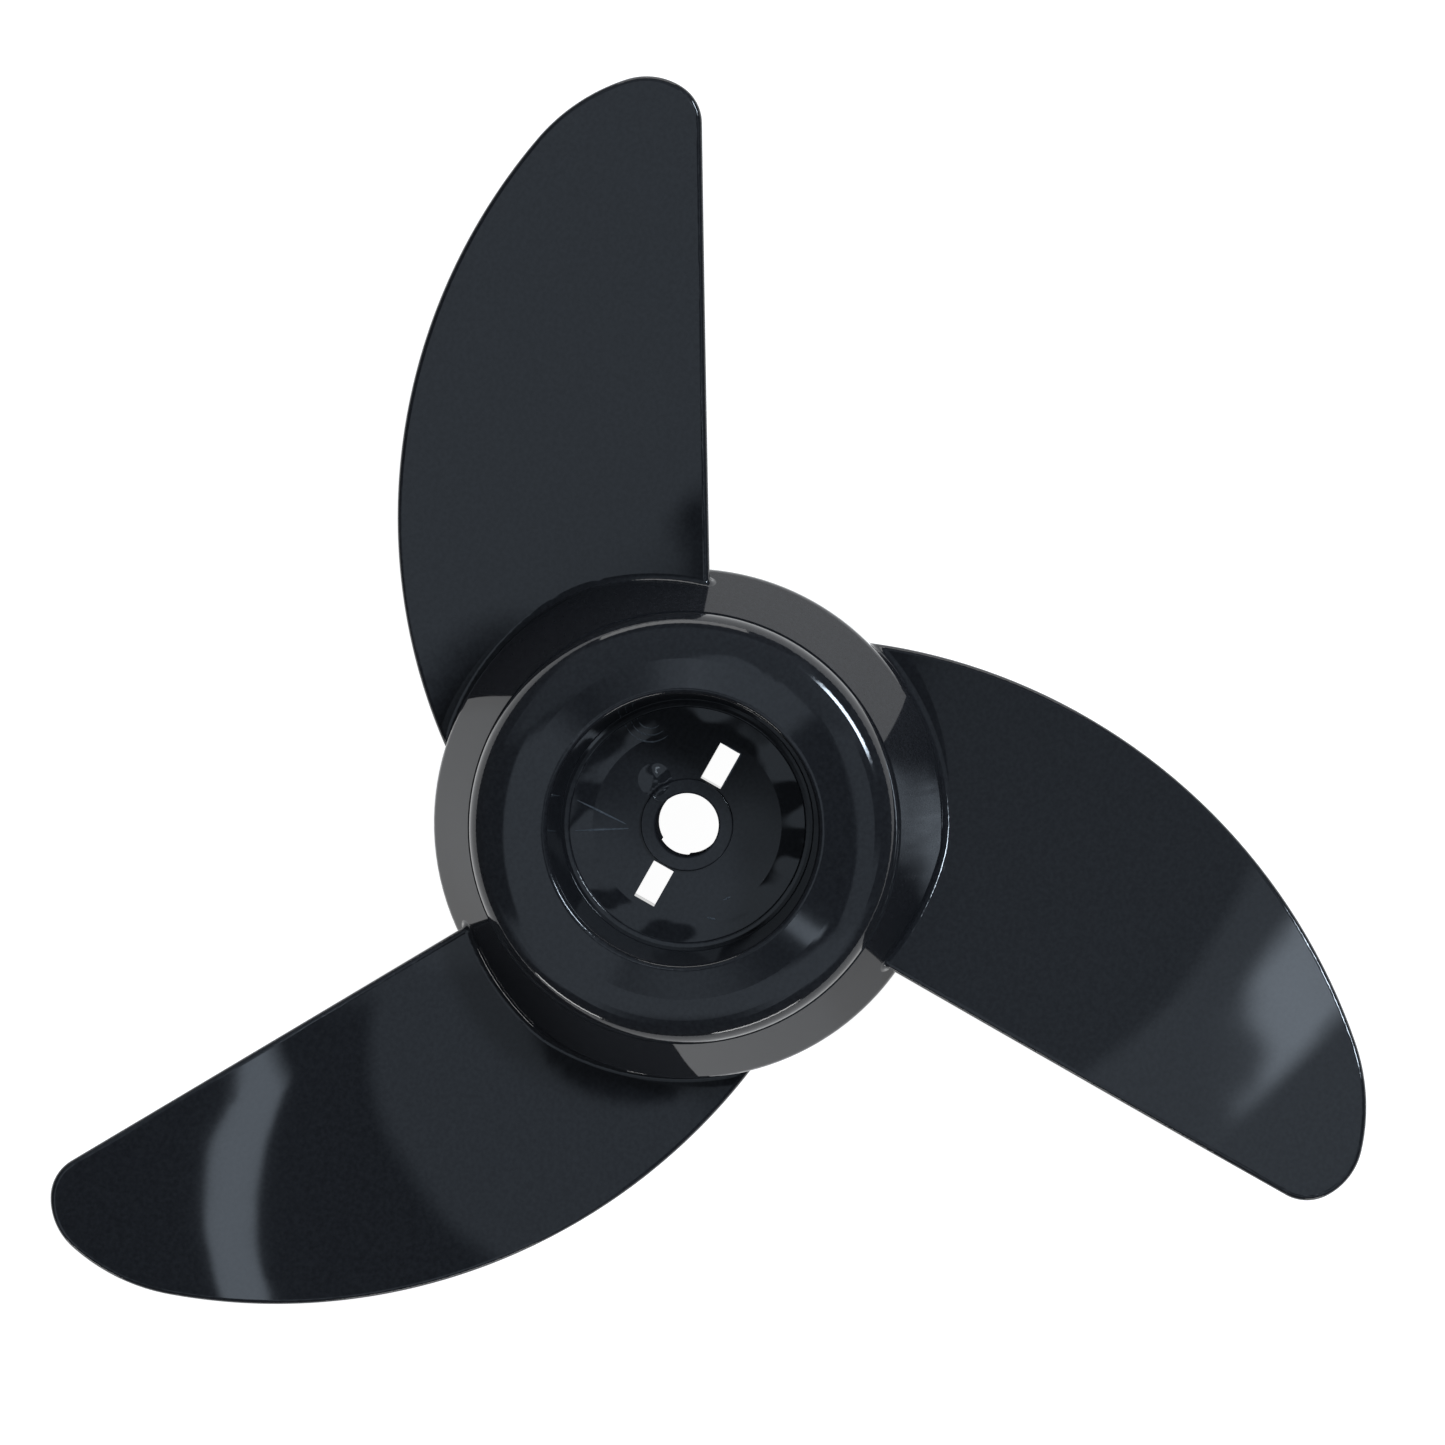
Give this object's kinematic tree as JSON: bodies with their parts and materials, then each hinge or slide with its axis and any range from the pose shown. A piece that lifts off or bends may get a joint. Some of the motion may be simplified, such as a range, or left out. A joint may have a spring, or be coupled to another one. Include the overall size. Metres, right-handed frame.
{
  "type": "boat propeller",
  "caption": "Left-hand propeller of an electric trolling motor: thin scimitar blades on a hollow hub with a shaft bore, a drive-pin slot and a deep nut recess.",
  "frame": {"origin": "on the shaft axis, in the plane of the hub's motor-side rim, on which the propeller also lies", "axes": "+Z along the shaft from the motor towards the propeller nut, +X along the drive-pin slot, +Y to the left of +X seen from the nut side"},
  "size_m": [0.2146, 0.2, 0.0394],
  "materials": {
    "propeller_plastic": "mirror-smooth blue-black moulded nylon or ABS"
  },
  "bodies": {
    "root": {"blade_1": "propeller_plastic", "blade_2": "propeller_plastic", "blade_3": "propeller_plastic", "drive_boss": "propeller_plastic", "hub_skirt": "propeller_plastic", "motor_collar": "propeller_plastic", "motor_side_rib_1": "propeller_plastic", "motor_side_rib_2": "propeller_plastic", "motor_side_rib_3": "propeller_plastic", "motor_side_rib_4": "propeller_plastic", "motor_side_rib_5": "propeller_plastic", "motor_side_rib_6": "propeller_plastic", "nose_ring": "propeller_plastic", "nut_seat": "propeller_plastic", "recess_floor": "propeller_plastic", "recess_wall": "propeller_plastic"}
  },
  "joints": []
}
